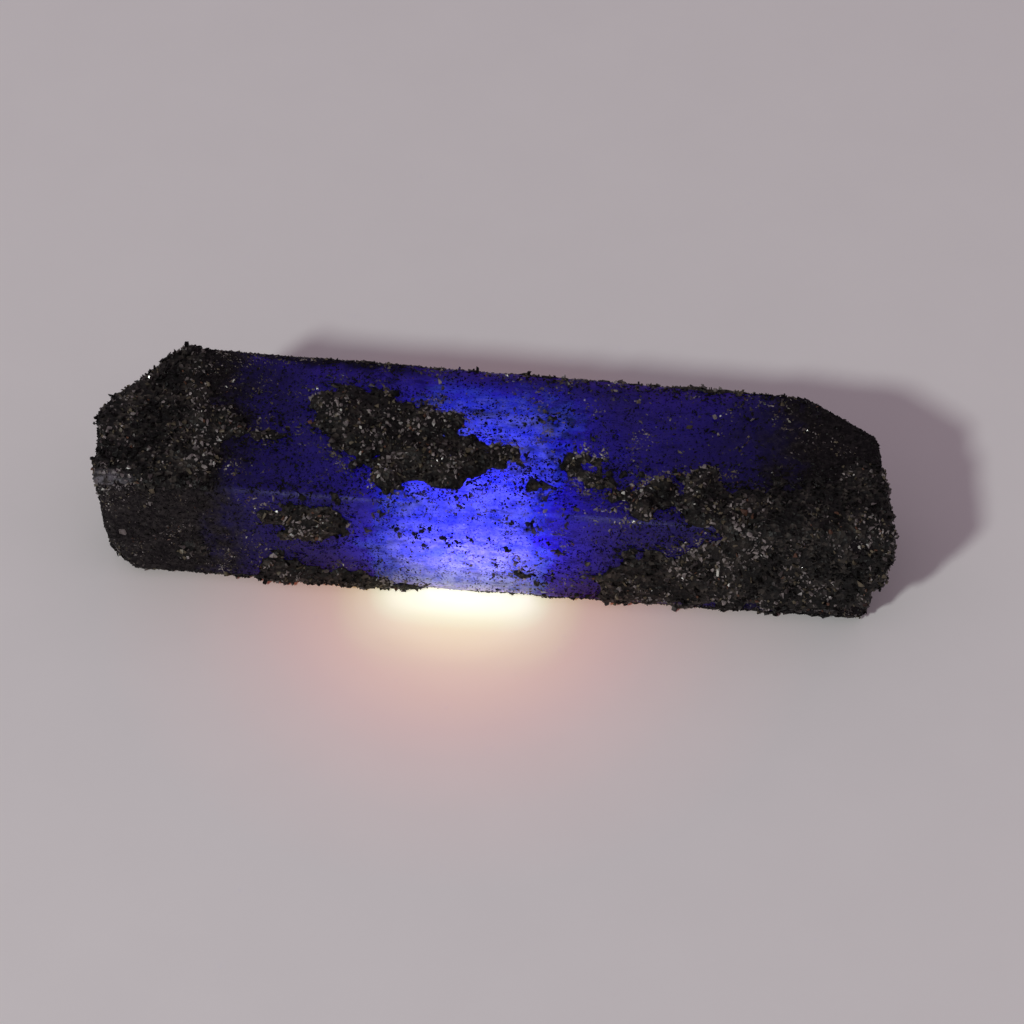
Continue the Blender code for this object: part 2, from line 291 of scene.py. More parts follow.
def crust_clumps(tree):
    """The grit's clumps, flattened balls half sunk in the block, as one object."""
    rng = np.random.default_rng(SEED)
    ball_points, ball_triangles = ball(2)
    points, triangles = [], []
    swell_size, swell_share = SWELL
    full_thickness, power = SWELL_THICKNESS
    for number, (name, (side, height, outline)) in enumerate({**PATCHES, **THIN_CRUST}.items()):
        low = np.min(outline, axis=0) - CLUMP_MARGIN
        high = np.max(outline, axis=0) + CLUMP_MARGIN
        steps = [np.arange(first, last, CLUMP_SPACING) for first, last in zip(low, high)]
        flat = np.stack(np.meshgrid(*steps), axis=-1).reshape(-1, 2)
        flat += rng.uniform(-CLUMP_SHIFT, CLUMP_SHIFT, flat.shape) * CLUMP_SPACING
        depth = inside_depth(outline, flat) - INSET.get(name, 0.0)
        for size, reach in EDGE_NOISE:
            ragged = np.array([noise.noise((x / size, y / size, number * EDGE_STEP)) for x, y in flat])
            depth += ragged * reach * RAGGED.get(name, 1.0)
        for point, deep in zip(flat[depth > EDGE_DEPTH], depth[depth > EDGE_DEPTH]):
            inner = min(1.0, deep / EDGE_REACH)
            width = (CLUMP_WIDTH[0] + (CLUMP_WIDTH[1] - CLUMP_WIDTH[0]) * inner) * MM
            width *= rng.uniform(*WIDTH_RANGE)
            hit = surface_hit(tree, side, point)
            if hit is None:
                continue
            place, normal = hit
            swollen = noise.noise(place / swell_size + Vector((1, 1, 1)) * SWELL_SHIFT)
            swollen *= swell_share * min(1.0, (height / full_thickness) ** power)
            share = CLUMP_HEIGHT[0] + CLUMP_HEIGHT[1] * inner
            thickness = height * MM * share * max(SWELL_LEAST, 1 + swollen)
            thickness *= FLATTER.get(name, 1.0)
            thickness *= rng.uniform(*HEIGHT_RANGE)
            turn = np.array(Vector((0, 0, 1)).rotation_difference(normal).to_matrix())
            triangles.append(ball_triangles + len(points) * len(ball_points))
            points.append(ball_points * (width, width, thickness) @ turn.T + place)
    return joined("clumps", np.concatenate(points), np.concatenate(triangles))


def joined(name, points, triangles):
    """An object of these triangles."""
    mesh = bpy.data.meshes.new(name)
    mesh.from_pydata(points.tolist(), [], triangles.tolist())
    return linked(name, mesh)


def remeshed(obj, cell, smoothing=0):
    """One closed skin of small faces round everything in the object, moved over its own origin."""
    obj.data.transform(Matrix.Translation(-ORIGIN))
    remesh = obj.modifiers.new("fuse", "REMESH")
    remesh.mode = "VOXEL"
    remesh.voxel_size = cell
    if smoothing:
        smooth = obj.modifiers.new("soften", "SMOOTH")
        smooth.factor = 0.5
        smooth.iterations = smoothing
    whole = evaluated_bmesh(obj)
    bpy.data.objects.remove(obj)
    whole.normal_update()
    for face in whole.faces:
        face.smooth = True
    return whole


# ---- crystal

UNDULATION = (5.0 * MM, 0.10 * MM)  # size and height of the slow unevenness
GROWTH_LINES = (20.0 * MM, 0.9 * MM, 0.05 * MM)  # length, width and height of the lines along the bar
CHIPS = (1.6 * MM, 0.16 * MM, 0.35)  # size and depth of the dents, and how few there are
FLAT_FOOT = 0.3 * MM  # nothing below this is uneven, so that the underside stays flat


def crystal_piece():
    """The crystal itself, closed, with growth lines and small dents."""
    bm = notched_block()
    cut_off(bm, (0, 0, 0), (0, 0, -1))
    bm = remeshed(new_object("crystal_block", bm), CRYSTAL_CELL)
    slow_size, slow_height = UNDULATION
    line_length, line_width, line_height = GROWTH_LINES
    chip_size, chip_height, chip_rarity = CHIPS
    for vertex in bm.verts:
        co = vertex.co
        rise = slow_height * noise.noise(co / slow_size)
        lines = Vector((co.x / line_length, co.y / line_width, co.z / line_width))
        rise += line_height * noise.noise(lines)
        dent = noise.noise(co / chip_size + Vector((9, 4, 2)))
        rise -= chip_height * max(0.0, dent - chip_rarity)
        if co.z < FLAT_FOOT:
            rise = 0.0
        vertex.co += vertex.normal * rise
    return new_object("crystal", bm)


# ---- crust

CRUST_SOFTENING = 2
CRUST_BUMPS = ((1.3 * MM, 0.14 * MM), (0.55 * MM, 0.10 * MM))  # size and height of each


def crust_piece(tree):
    """The grit's lumps fused to lumpy sheets, uneven at the size of its grains."""
    bm = remeshed(crust_clumps(tree), CRUST_CELL, CRUST_SOFTENING)
    for vertex in bm.verts:
        place = vertex.co + ORIGIN
        rise = sum(height * noise.noise(place / size) for size, height in CRUST_BUMPS)
        vertex.co += vertex.normal * rise
        vertex.co.z = max(vertex.co.z, GROUND_GAP)
    return new_object("crust", bm)


# ---- grains

GROUND_GAP = 0.02 * MM
GRAIN_SHAPES = 10  # of each kind
GRAIN_CORNERS = (8, 6)  # of a grain, and of a flake
CORNER_REACH = (0.8, 1.1)
GRAIN_STRETCH = ((0.8, 0.6, 0.45), (1.2, 1.0, 0.8))  # least and most along its three axes
FLAKE_STRETCH = (1.15, 0.95, 0.85)
GRAIN_RISE = 0.11  # height of a grain's centre above what it sits on, as a share of its size
CRUST_GRAINS = 27500
DUST_PER_MM2 = 17.0
GRAIN_SIZE = (0.41 * MM, 0.38)  # middle size, and spread of its logarithm
SPECK_SIZE = (0.18 * MM, 0.42)
GRAIN_LIMITS = (0.08 * MM, 0.85 * MM)
# Share, how the share follows the grit's tone, darkest and lightest colour, roughness, and shine
SHADES = {
    "black": (0.31, -2.0, (0.0012, 0.0009, 0.0010), (0.006, 0.0044, 0.0046), 0.35, 0.6, 0.15),
    "charcoal": (0.33, 0.0, (0.010, 0.0078, 0.0078), (0.072, 0.057, 0.057), 0.35, 0.6, 0.3),
    "olive": (0.20, 1.0, (0.020, 0.016, 0.009), (0.125, 0.101, 0.068), 0.4, 0.65, 0.3),
    "pale": (0.13, 2.0, (0.05, 0.043, 0.043), (0.27, 0.235, 0.23), 0.15, 0.4, 0.5),
    "rust": (0.03, 1.0, (0.026, 0.0115, 0.007), (0.12, 0.054, 0.034), 0.45, 0.7, 0.3),
    "white": (0.003, 2.0, (0.34, 0.33, 0.30), (0.62, 0.62, 0.58), 0.15, 0.4, 0.5),
}
MOST_SUNK = 0.05 * MM  # how deep in the crystal a grain of the crust may be
LOWEST_ON_CRUST = 0.1 * MM
LOWEST_DUST = 0.12 * MM
CLEAR_OF_CRUST = 0.1 * MM  # least gap between dust and crust
COARSE_POWER = 0.6
BLACK_SPLIT = -5.0 * MM  # the black grains are the most, so they are two pieces that meet here


def grain_shapes(corners, rng):
    """Angular grains about 1 across, as (points, triangles)."""
    shapes = []
    for _ in range(GRAIN_SHAPES):
        bm = bmesh.new()
        for _ in range(corners):
            way = Vector(rng.normal(size=3)).normalized()
            bm.verts.new(way * 0.5 * rng.uniform(*CORNER_REACH))
        hull = bmesh.ops.convex_hull(bm, input=bm.verts)
        loose = [v for v in hull["geom_interior"] if isinstance(v, bmesh.types.BMVert)]
        bmesh.ops.delete(bm, geom=loose, context="VERTS")
        bmesh.ops.triangulate(bm, faces=bm.faces[:])
        bm.verts.index_update()
        points = np.array([v.co[:] for v in bm.verts])
        triangles = np.array([[v.index for v in f.verts] for f in bm.faces])
        bm.free()
        shapes.append((points, triangles))
    return shapes


def random_turns(count, rng):
    """Rotation matrices spread evenly over every direction."""
    q = rng.normal(size=(count, 4))
    w, x, y, z = (q / np.linalg.norm(q, axis=1, keepdims=True)).T
    rows = [
        1 - 2 * (y * y + z * z), 2 * (x * y - z * w), 2 * (x * z + y * w),
        2 * (x * y + z * w), 1 - 2 * (x * x + z * z), 2 * (y * z - x * w),
        2 * (x * z - y * w), 2 * (y * z + x * w), 1 - 2 * (x * x + y * y),
    ]
    return np.stack(rows, axis=1).reshape(-1, 3, 3)


def flat_turns(normals, rng):
    """Rotation matrices that lay a flake on the surface, its length mostly along the bar."""
    along = np.array([1.0, 0.0, 0.0]) + rng.normal(0, 1.0, normals.shape)
    along -= normals * np.sum(along * normals, axis=1)[:, None]
    along /= np.linalg.norm(along, axis=1)[:, None]
    return np.stack([along, np.cross(normals, along), normals], axis=2)


def triangle_arrays(obj):
    """(corners of each triangle, unit normals, areas) of a mesh object."""
    mesh = obj.data
    mesh.calc_loop_triangles()
    points = np.empty(len(mesh.vertices) * 3)
    mesh.vertices.foreach_get("co", points)
    index = np.empty(len(mesh.loop_triangles) * 3, np.int64)
    mesh.loop_triangles.foreach_get("vertices", index)
    corners = points.reshape(-1, 3)[index.reshape(-1, 3)]
    cross = np.cross(corners[:, 1] - corners[:, 0], corners[:, 2] - corners[:, 0])
    length = np.linalg.norm(cross, axis=1)
    return corners, cross / np.maximum(length, 1e-20)[:, None], length / 2


def spread_points(arrays, count, rng):
    """(places, normals) of points spread evenly over these triangles."""
    corners, normals, areas = arrays
    chosen = rng.choice(len(areas), size=count, p=areas / areas.sum())
    a, b = rng.random((2, count))
    over = a + b > 1
    a, b = np.where(over, 1 - a, a), np.where(over, 1 - b, b)
    first, second, third = (corners[chosen, i] for i in range(3))
    places = first + a[:, None] * (second - first) + b[:, None] * (third - first)
    return places, normals[chosen]


def smooth_step(value, low, high):
    """0 at low and 1 at high, with an even start and end."""
    t = np.clip((value - low) / (high - low), 0, 1)
    return t * t * (3 - 2 * t)


def noise_at(places, size, shift):
    """Noise of this size at each place."""
    return np.array([noise.noise(Vector(p) / size + Vector((shift, shift, shift))) for p in places])


SQUARE_ON = 0.7  # least cosine at which a face counts as front or top
DUSTY_LEFT = (-12, -27)  # along X, where the left end's dust begins and where it is thickest, in mm
DUSTY_RIGHT = (11, 26)
# Size and shift of the noises that spread the dust
DUST_PATCHES = (3.0 * MM, 5.0)
DUST_CLUMPS = (1.1 * MM, 9.0)
DUST_MIDDLE = (1.7 * MM, 15.0)
NEAR_CRUST = (0.2 * MM, 0.9 * MM)  # gap up to which dust counts as near the crust, and how it fades
DENSITY = {"least": 0.10, "middle": 0.75, "front": 0.65, "top_left": 0.95, "top_right": 0.30, "other": 0.60,
           "sides": 0.45, "clumps": 0.6, "near": 1.3}
COARSENESS = {"least": 0.28, "right": 0.15, "left": 0.14, "near": 0.75, "clumps": 0.7}
FINER_FRONT = (-10, 0.6)  # left of this X the front's dust is finer, by this share
WINDOW_FOOT = (-2.5, 8, 3.2, 0.35)  # middle, reach and height of the cleaner foot, and its share of dust


def dust_field(places, normals, gap):
    """(share of the tries that leave a grain, how coarse the grains are) on the bare crystal."""
    x, _, z = (places / MM).T
    front = normals[:, 1] < -SQUARE_ON
    top = normals[:, 2] > SQUARE_ON
    left = smooth_step(x, *DUSTY_LEFT)
    right = smooth_step(x, *DUSTY_RIGHT)
    patchy = noise_at(places, *DUST_PATCHES)
    clumps = smooth_step(noise_at(places, *DUST_CLUMPS), 0.28, 0.45)
    near = np.exp(-np.maximum(gap - NEAR_CRUST[0], 0) / NEAR_CRUST[1])
    d, c = DENSITY, COARSENESS
    middle = d["least"] + d["middle"] * smooth_step(noise_at(places, *DUST_MIDDLE), 0.0, 0.5)
    on_top = np.where(x < 0, d["top_left"], d["top_right"])
    ends = np.where(front, d["front"], np.where(top, on_top, d["other"]))
    density = middle + (ends - middle) * np.maximum(left, right)
    density = np.where(~front & ~top, np.maximum(density, d["sides"]), density)
    density += d["clumps"] * clumps * (1 - left) + d["near"] * near
    coarse = c["least"] + c["right"] * right - c["left"] * left + c["near"] * near + c["clumps"] * clumps
    coarse = np.clip(coarse, 0, 1)
    start, finer = FINER_FRONT
    coarse = np.where(front & (x < start), coarse * finer, coarse)
    centre, reach, top_of_foot, cleaner = WINDOW_FOOT
    window_foot = front & (np.abs(x - centre) < reach) & (z < top_of_foot)
    density = np.where(window_foot, density * cleaner, density)
    return density * np.clip(1 + 0.8 * patchy, 0.2, 1.6), coarse


def grains_piece(name, shapes, grains, rng):
    """One mesh of angular grains, each sunk a little into what it sits on."""
    centres = grains["place"] + grains["normal"] * (grains["size"] * GRAIN_RISE)[:, None]
    count = len(centres)
    turns = random_turns(count, rng)
    stretch = rng.uniform(*GRAIN_STRETCH, size=(count, 3))
    kind = rng.integers(GRAIN_SHAPES, size=count)
    flake = grains["flake"]
    turns[flake] = flat_turns(grains["normal"][flake], rng)
    stretch[flake] *= FLAKE_STRETCH
    kind[flake] += GRAIN_SHAPES
    points, triangles, so_far = [], [], 0
    for i, (shape_points, shape_triangles) in enumerate(shapes):
        mine = kind == i
        local = shape_points[None] * stretch[mine][:, None]
        turned = np.einsum("nij,nkj->nki", turns[mine], local)
        placed = turned * grains["size"][mine][:, None, None] + centres[mine][:, None]
        points.append(placed.reshape(-1, 3))
        starts = so_far + len(shape_points) * np.arange(mine.sum())
        triangles.append((shape_triangles[None] + starts[:, None, None]).reshape(-1, 3))
        so_far += len(points[-1])
    points = np.concatenate(points)
    points[:, 2] = np.maximum(points[:, 2], GROUND_GAP)
    return joined(name, points, np.concatenate(triangles))


def grain_sizes(count, middle, rng):
    """Random sizes about this middle."""
    size, spread = middle
    return np.clip(size * np.exp(rng.normal(0, spread, count)), *GRAIN_LIMITS)


# The first swing uses the lumps' swell noise, so the grit is paler on the lumps' tops and darker between
# them: painted light and shade. The second is the grit's own random tone.
TONE_AND_RELIEF_SHADE = ((SWELL[0], 3.0), (1.2 * MM, 1.2))  # size and strength of the swings in the grit's tone
# x, y, z, reach, and how much paler the grit is there than elsewhere. The pale spots on the ridge's two
# lumps are their lit tops, a painted highlight, and the darker spots are painted shade in the grit's
# hollows;
# the rest are the grit's own paler patches.
TONE_AND_SHADE_SPOTS = (
    (-36.3, -9.0, 12.9, 2.2, 3.0), (-28.9, -1.9, 14.0, 2.6, 0.8),
    (-28.8, -6.1, 13.7, 2.2, 0.7), (-34.8, -6.9, 13.5, 2.4, -1.3),
    (27.7, -9.4, 7.0, 2.6, -0.9), (36.6, -9.2, 10.2, 2.0, 1.8),
    (35.4, -9.2, 7.6, 1.7, -1.7), (16.5, -5.0, 14.5, 1.8, 0.7),
    (20.8, -4.0, 14.5, 1.8, 0.7), (23.3, -9.5, 6.7, 1.8, 0.8),
    (31.4, -9.6, 3.3, 2.5, 0.5), (-16.9, 1.2, 14.3, 2.0, 0.8),
    (-6.0, -0.3, 13.9, 1.5, 0.5), (-19.7, -10.3, 1.6, 2.0, 0.6),
    (-13.5, 0.5, 14.0, 5.0, 0.7), (-6.0, -3.0, 14.0, 4.5, 0.8),
    (27.5, -4.5, 13.5, 3.0, -0.8), (33.0, -5.5, 13.5, 4.0, -1.1),
)


def shades_at(places, paler, rng):
    """Which shade each grain has: paler on the lumps' tops and darker between them, painted light and
    shade, random paler and darker stretches of grit, and a few pale and dark spots.
    """
    block_places = places + np.array(ORIGIN)
    tone = paler + sum(height * noise_at(block_places, size, SWELL_SHIFT) for size, height in TONE_AND_RELIEF_SHADE)
    for x, y, z, reach, strength in TONE_AND_SHADE_SPOTS:
        away = np.linalg.norm(block_places / MM - (x, y, z), axis=1)
        tone += strength * np.exp(-(away / reach) ** 2)
    shares, slopes = np.array([look[:2] for look in SHADES.values()]).T
    shares = shares * np.exp(tone[:, None] * slopes)
    shares = np.cumsum(shares / shares.sum(axis=1, keepdims=True), axis=1)
    return np.sum(rng.random(len(places))[:, None] > shares[:, :-1], axis=1)


LOOSE_RISE = 0.15
LOOSE_SCALE = 1.35
CLUSTERED = ("black", "charcoal")
CLUSTER = 5  # grains in a cluster
CLUSTER_SPREAD = 0.42
CLUSTER_SIZES = (0.4, 0.75)  # of its smaller grains, as a share of the size
CLUSTER_SCALE = 0.8
# Single grains that stand out: side, shade, and the place on that side and the size of each, in mm
LOOSE_GRAINS = (
    ("front", "white", [(-35.8, 6.3, 1.1)]),
    # This white grain on the top stands for a glint: a painted highlight.
    ("top", "white", [(-26.4, 4.1, 0.42)]),
    ("top", "pale", [(37.9, -4.8, 0.6), (21.6, 4.8, 0.55), (25.4, 4.9, 0.5)]),
    ("top", "olive", [(19.3, 3.2, 0.7)]),
    ("front", "white", [(23.3, 6.7, 0.8)]),
    ("front", "olive", [(37.2, 6.5, 0.9), (10.4, 6.3, 0.7)]),
    ("front", "pale", [(9.9, 4.3, 0.4)]),
    ("top", "pale", [(-6.0, 6.3, 0.6)]),
    ("top", "olive", [(-5.6, 5.5, 0.5)]),
    ("front", "pale", [(-20.6, 11.9, 0.7)]),
    ("top", "pale", [(-32.2, -0.3, 0.5)]),
    ("top", "rust", [(25.4, -7.2, 0.8), (26.3, -7.6, 0.7)]),
    ("front", "black",
        [(-6.7, 8.6, 0.6), (-6.4, 8.0, 0.5), (-5.9, 9.0, 0.6), (-5.2, 9.3, 0.5), (-4.4, 9.2, 0.45),
         (-3.9, 8.2, 0.85), (-3.5, 7.6, 0.6), (-3.0, 8.4, 0.5), (-2.6, 7.9, 0.65), (-1.5, 8.6, 0.55),
         (-1.0, 8.1, 0.6), (0.7, 8.6, 0.5), (2.4, 7.3, 0.8), (1.4, 5.1, 0.45), (2.9, 11.0, 0.7),
         (4.8, 10.7, 1.0)]),
    ("front", "charcoal", [(5.1, 10.0, 0.8)]),
    ("front", "black", [(6.4, 8.6, 0.75)]),
    ("front", "charcoal", [(7.5, 7.4, 1.1), (8.2, 11.1, 0.8)]),
    ("front", "black", [(-8.5, 9.1, 0.8)]),
    ("front", "charcoal", [(-8.2, 8.4, 0.6), (-10.6, 11.0, 0.9)]),
    ("front", "black", [(-9.9, 11.0, 0.8)]),
    ("front", "charcoal", [(-11.3, 8.6, 0.8)]),
    ("top", "black", [(-1.4, 3.1, 0.6)]),
    ("top", "charcoal", [(1.8, 3.7, 0.6), (5.9, -7.4, 0.8)]),
)


def grain_set(places, normals, sizes, flake):
    """What grains_piece needs to know of each grain. Flakes lie flat on what they sit on."""
    return {"place": places, "normal": normals, "size": sizes, "flake": np.full(len(places), flake)}


def loose_grains(trees, rng):
    """The single grains, pale ones whole and dark ones as tight clusters, with the shade of each."""
    places, normals, sizes, shades = [], [], [], []
    for side, shade, grains in LOOSE_GRAINS:
        clustered = shade in CLUSTERED
        for first, second, size in grains:
            for number in range(CLUSTER if clustered else 1):
                shift = rng.normal(0, CLUSTER_SPREAD * size, 2) if number else (0.0, 0.0)
                start, towards = look_at(side, (first + shift[0], second + shift[1]), ORIGIN)
                hits = [tree.ray_cast(start, towards) for tree in trees]
                place, normal, _, _ = min((hit for hit in hits if hit[0]), key=lambda hit: hit[3])
                own_size = size * LOOSE_SCALE
                own_size *= rng.uniform(*CLUSTER_SIZES) if number else 1.0
                own_size *= CLUSTER_SCALE if clustered else 1.0
                places.append((place + normal * LOOSE_RISE * own_size * MM)[:])
                normals.append(normal[:])
                sizes.append(own_size * MM)
                shades.append(list(SHADES).index(shade))
    return grain_set(np.array(places), np.array(normals), np.array(sizes), False), np.array(shades)


def crust_grains(tree, crust, rng):
    """The grains on the crust, where it is outside the crystal."""
    places, normals = spread_points(triangle_arrays(crust), CRUST_GRAINS, rng)
    outside = []
    for place in places:
        near, normal, _, _ = tree.find_nearest(Vector(place))
        out = (Vector(place) - near).dot(normal)
        outside.append(out > -MOST_SUNK and place[2] > LOWEST_ON_CRUST)
    places, normals = places[outside], normals[outside]
    return grain_set(places, normals, grain_sizes(len(places), GRAIN_SIZE, rng), False)


def dust_grains(crystal, tree, rng):
    """The grains on the bare crystal, mostly specks and coarser towards the crust."""
    arrays = triangle_arrays(crystal)
    tries = int(arrays[2].sum() / MM ** 2 * DUST_PER_MM2)
    places, normals = spread_points(arrays, tries, rng)
    above = places[:, 2] > LOWEST_DUST
    places, normals = places[above], normals[above]
    gap = np.array([tree.find_nearest(Vector(p))[3] for p in places])
    density, coarse = dust_field(places, normals, gap)
    kept = (rng.random(len(places)) < density) & (gap > CLEAR_OF_CRUST)
    sizes = grain_sizes(len(places), SPECK_SIZE, rng)
    coarse = coarse * rng.random(len(places)) ** COARSE_POWER
    sizes += coarse * (grain_sizes(len(places), GRAIN_SIZE, rng) - sizes)
    return grain_set(places[kept], normals[kept], sizes[kept], True)


DUST_TONE = (-0.35, -0.75)  # tone of the dust in the middle, and what the ends add
DUST_TONE_ENDS = (7, 20)


def all_grains(crystal, crust):
    """(piece, name of its shade) for the grains on the crust and on the bare crystal."""
    rng = np.random.default_rng(SEED)
    shapes = [shape for corners in GRAIN_CORNERS for shape in grain_shapes(corners, rng)]
    trees = [BVHTree.FromPolygons(*polygons_of(obj)) for obj in (crystal, crust)]
    on_crust = crust_grains(trees[0], crust, rng)
    on_crystal = dust_grains(crystal, trees[1], rng)
    single, single_shades = loose_grains(trees, rng)
    grains = {key: np.concatenate([on_crust[key], on_crystal[key]]) for key in on_crust}
    paler = np.zeros(len(grains["place"]))
    towards_ends = smooth_step(np.abs(on_crystal["place"][:, 0]) / MM, *DUST_TONE_ENDS)
    paler[len(on_crust["place"]):] = DUST_TONE[0] + DUST_TONE[1] * towards_ends
    shade = np.concatenate([shades_at(grains["place"], paler, rng), single_shades])
    grains = {key: np.concatenate([values, single[key]]) for key, values in grains.items()}
    on_left = grains["place"][:, 0] < BLACK_SPLIT
    pieces = []
    for i, name in enumerate(SHADES):
        parts = {name: shade == i}
        if name == "black":
            parts = {"black_left": (shade == i) & on_left, "black_right": (shade == i) & ~on_left}
        for part, chosen in parts.items():
            mine = {key: values[chosen] for key, values in grains.items()}
            pieces.append((grains_piece("grains_" + part, shapes, mine, rng), name))
    return pieces


def polygons_of(obj):
    """(points, faces) of the object's mesh, as BVHTree takes them."""
    mesh = obj.data
    return [v.co[:] for v in mesh.vertices], [p.vertices[:] for p in mesh.polygons]


# ---- nodes


def new_material(name):
    """(material, its node tree, its Principled shader)"""
    material = bpy.data.materials.new(name)
    material.use_nodes = True
    return material, material.node_tree, material.node_tree.nodes["Principled BSDF"]


def feed(node, inputs):
    """Links or sets the node's inputs, by name or number."""
    for key, value in inputs.items():
        if isinstance(value, bpy.types.NodeSocket):
            node.id_data.links.new(value, node.inputs[key])
        else:
            node.inputs[key].default_value = value


def add(kind, inputs, tree=None, **settings):
    """The outputs of a new node with these inputs and settings, in the tree that its inputs come from."""
    if tree is None:
        tree = next(value.id_data for value in inputs.values() if isinstance(value, bpy.types.NodeSocket))
    node = tree.nodes.new("ShaderNode" + kind)
    for key, value in settings.items():
        setattr(node, key, value)
    feed(node, inputs)
    return node.outputs


def maths(operation, *values):
    return add("Math", dict(enumerate(values)), operation=operation)[0]


def vector_maths(operation, *values):
    return add("VectorMath", dict(enumerate(values)), operation=operation)[0]


def axes(vector):
    """The vector's X, Y and Z outputs."""
    return add("SeparateXYZ", {0: vector})


def in_millimetres(tree, stretch=(1, 1, 1)):
    """Object coordinates in millimetres, divided by the stretch along each axis."""
    return vector_maths("MULTIPLY", add("TexCoord", {}, tree)["Object"], [1 / (MM * s) for s in stretch])


def distance_node(place, centre, stretch=(1, 1, 1)):
    """Distance in millimetres from the centre, each axis multiplied by its stretch."""
    moved = vector_maths("SUBTRACT", place, (*centre, 0)[:3])
    scaled = vector_maths("MULTIPLY", moved, stretch)
    return add("VectorMath", {0: scaled}, operation="LENGTH")["Value"]


def noise_node(vector, scale, detail=3.0, roughness=0.55):
    inputs = {"Vector": vector, "Scale": scale, "Detail": detail, "Roughness": roughness}
    return add("TexNoise", inputs)["Fac"]


def ramp_node(value, stops):
    """A colour ramp with these (position, colour) stops."""
    colours = add("ValToRGB", {"Fac": value})["Color"]
    ramp = colours.node.color_ramp
    while len(ramp.elements) < len(stops):
        ramp.elements.new(0.5)
    for element, (position, colour) in zip(ramp.elements, stops):
        element.position = position
        element.color = (*colour, 1.0)
    return colours


def range_node(value, low, high, to_low=0.0, to_high=1.0, kind="SMOOTHSTEP"):
    """The value, moved from one range to the other and kept inside it."""
    inputs = {"Value": value, "From Min": low, "From Max": high, "To Min": to_low, "To Max": to_high}
    return add("MapRange", inputs, interpolation_type=kind)["Result"]


def mixed(share, first, second):
    """The first colour, turned to the second by this share."""
    return add("Mix", {"Factor": share, "A": first, "B": second}, data_type="RGBA")["Result"]


def bump_node(height, distance, strength, normal=None):
    inputs = {"Strength": strength, "Distance": distance, "Height": height}
    return add("Bump", inputs if normal is None else {**inputs, "Normal": normal})["Normal"]


# ---- materials

CRYSTAL = {
    # Colours from the crystal's own deep blue, at 0, to the torch's glow painted in, at 1.
    "colour_and_glow_zones": (
        (0.0, (0.014, 0.0035, 0.25)), (0.32, (0.020, 0.009, 0.40)),
        (0.56, (0.030, 0.066, 0.45)), (0.78, (0.090, 0.125, 0.45)),
        (1.0, (0.155, 0.205, 0.46)),
    ),
    # Pinkish tint that the painted glow takes low down.
    "painted_foot_glow": (0.52, 0.38, 0.85),
    # The pale zone that these place is the torch's glow, painted into the crystal's colour.
    "painted_glow": (-1.4, 0.145, 13.0, 3.8),  # middle, slant, outer and inner reach of the pale heart, in mm
    "painted_glow_wander": 7.0,
    "film": (
        (0.32, (0.0028, 0.0020, 0.0030)), (0.52, (0.0085, 0.0065, 0.0080)),
        (0.75, (0.034, 0.029, 0.029)),
    ),
    "film_wander": 13.0,
    # x, y and reach of patches of caught dust on the top, in mm
    "smudges": ((4.5, -3.5, 4.0), (9.0, -3.2, 3.5), (7.5, 2.2, 3.0), (6.5, -7.4, 3.0), (-12.0, 7.0, 3.0)),
    "ior": 1.77,
    "transmission": 0.35,
    "glow_reach": 55.0 * MM,
    "glow_colour": (0.52, 0.50, 1.0),
    "absorption": (0.32, 0.22, 0.955),
    "density": 420.0,
}
# Noises over the crystal: scale per mm, detail and roughness, and what their values are moved from and to
NOISES = {
    "streaks": ((1.0, 4.0), (0.3, 0.7, 0.72, 1.12)),
    "clouds": ((0.75, 4.0, 0.6), (0.36, 0.64, 0.70, 1.18)),
    "ridge": ((1.1, 4.0), (0.42, 0.68, 0.0, 0.45)),
    "smudges": ((0.9, 6.0, 0.7), (0.42, 0.62, 0.0, 0.75)),
    "patchy": ((0.45, 3.0), (0.38, 0.62, 0.45, 1.0)),
    "specks": ((4.5, 2.0), (0.56, 0.63)),
    "blots": ((1.7, 4.0, 0.65), (0.58, 0.66)),
    "smears": ((0.9, 7.0, 0.7), (0.46, 0.70)),
}
# What other values are moved from and to
RANGES = {
    # rear, low and lit shape the painted glow: it fades towards the back and turns pinkish low down.
    "rear": (9.0, 1.5, 0.12, 1.0),
    "low": (2.6, 0.4, 0.0, 0.8),
    "lit": (0.4, 0.9),
    "ridge": (-0.24, -0.42),
    "back_rim": (7.3, 8.8),
    "back_rim_share": (-6.0, -12.0, 0.35, 0.95),
    "left": (-16.5, -28.0),
    "right": (13.0, 31.0),
    "foot": (0.5, 0.1),
    "hem": (1.6, 0.3, 0.0, 0.06),
    "dusty": (0.0, 0.8, 0.70, 1.0),
    "front": (-0.5, -0.9, 0.0, 0.085),
    "rough": (0.35, 0.7, 0.28, 0.50),
}


def patches(vector, name):
    """One of the noises above, moved to its range."""
    settings, limits = NOISES[name]
    return range_node(noise_node(vector, *settings), *limits)


